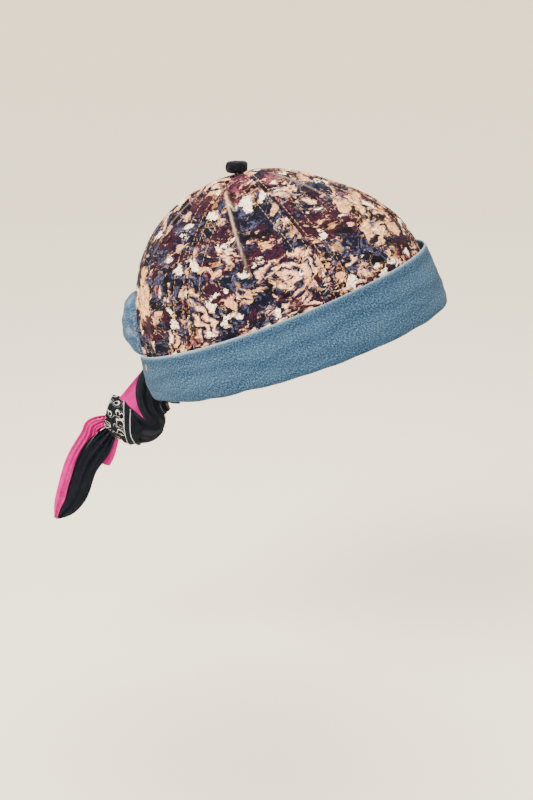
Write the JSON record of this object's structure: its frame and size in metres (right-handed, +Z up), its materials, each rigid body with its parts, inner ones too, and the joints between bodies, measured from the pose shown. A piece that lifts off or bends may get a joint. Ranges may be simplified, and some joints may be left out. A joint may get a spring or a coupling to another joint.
{
  "type": "docker hat",
  "caption": "Brimless docker hat: panelled cotton crown, turned-up denim cuff open at the back over an arched insert, button on top, bandana tied behind.",
  "frame": {"origin": "centre of the plane of the cuff's lower edge, which is the head opening, with the hat tipped back as it is worn", "axes": "+X to the wearer's front, +Y to the wearer's left, +Z up; the plane of the head opening leans back by about 19 degrees"},
  "size_m": [0.2701, 0.172, 0.2561],
  "materials": {
    "printed_cotton": "matte cotton with a dark flower print",
    "light_denim": "matte speckled twill",
    "dark_velvet": "velvet",
    "black_bandana": "thin plain-woven cotton with a white print",
    "pink_bandana": "thin plain-woven cotton with a white print"
  },
  "bodies": {
    "root": {"crown_panel_front_left": "printed_cotton", "crown_panel_front_right": "printed_cotton", "crown_panel_side_left": "printed_cotton", "crown_panel_side_right": "printed_cotton", "crown_panel_back_left": "printed_cotton", "crown_panel_back_right": "printed_cotton", "back_insert": "light_denim", "cuff": "light_denim", "button": "dark_velvet", "tie_knot": "black_bandana", "tie_knot_wrap": "black_bandana", "tie_band_right": "black_bandana", "tie_band_left": "pink_bandana", "tie_tail_black": "black_bandana", "tie_tail_pink": "pink_bandana", "tie_tail_short": "pink_bandana"}
  },
  "joints": []
}
